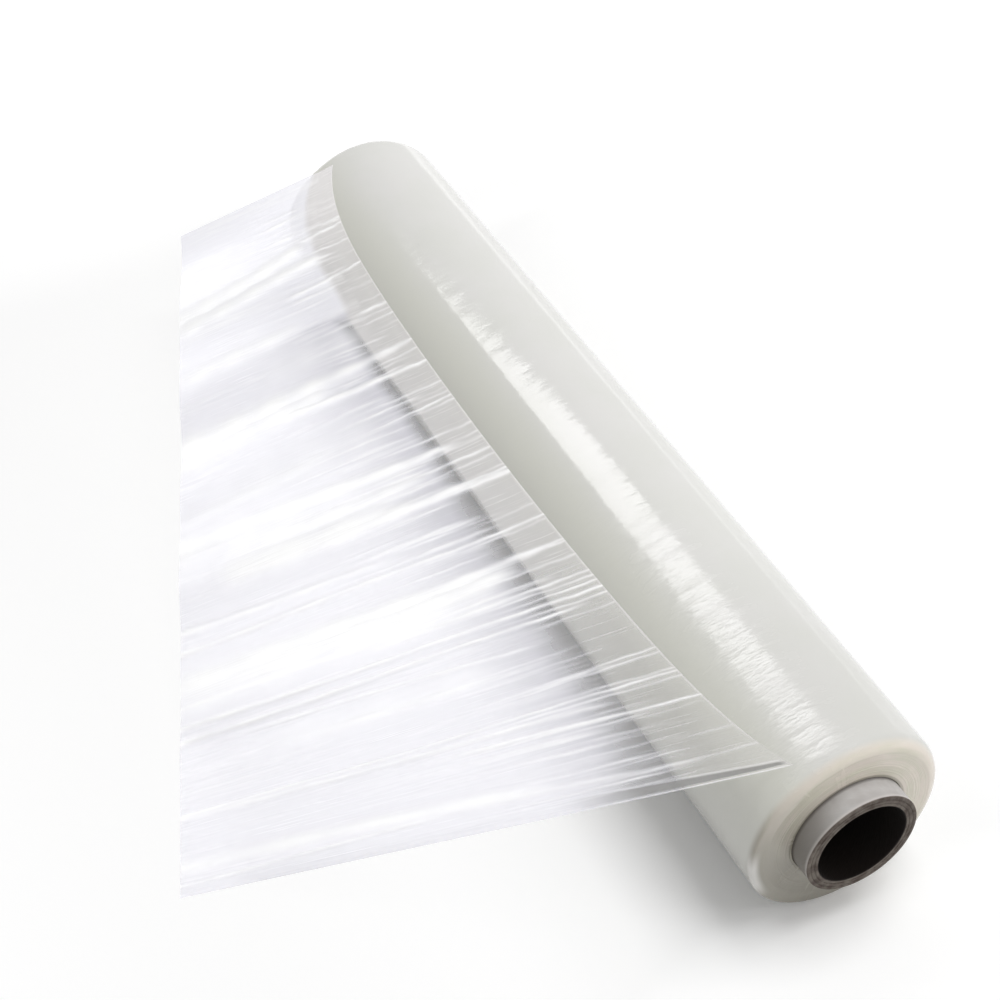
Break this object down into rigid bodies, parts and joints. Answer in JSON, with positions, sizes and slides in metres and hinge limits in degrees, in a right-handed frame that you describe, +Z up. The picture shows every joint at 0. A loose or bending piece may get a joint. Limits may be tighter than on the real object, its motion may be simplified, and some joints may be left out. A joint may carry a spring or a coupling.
{
  "type": "stretch wrap roll",
  "caption": "Roll of clear stretch film on a paper core that stands out at both ends, lying down, with a creased length of film drawn out to one side.",
  "frame": {"origin": "on the axis of the core's bore, at mid-length", "axes": "+Y along the roll's axis, from the near end to the far end; +Z up; the drawn-out film runs towards -X"},
  "size_m": [0.2695, 0.47, 0.0834],
  "materials": {
    "core_paper": "matt grey-brown wound paper, paler on the outside",
    "stretch_film": "glossy clear film, milky where it is wound and see-through where it is drawn out"
  },
  "bodies": {
    "root": {"core": "core_paper", "film": "stretch_film"}
  },
  "joints": []
}
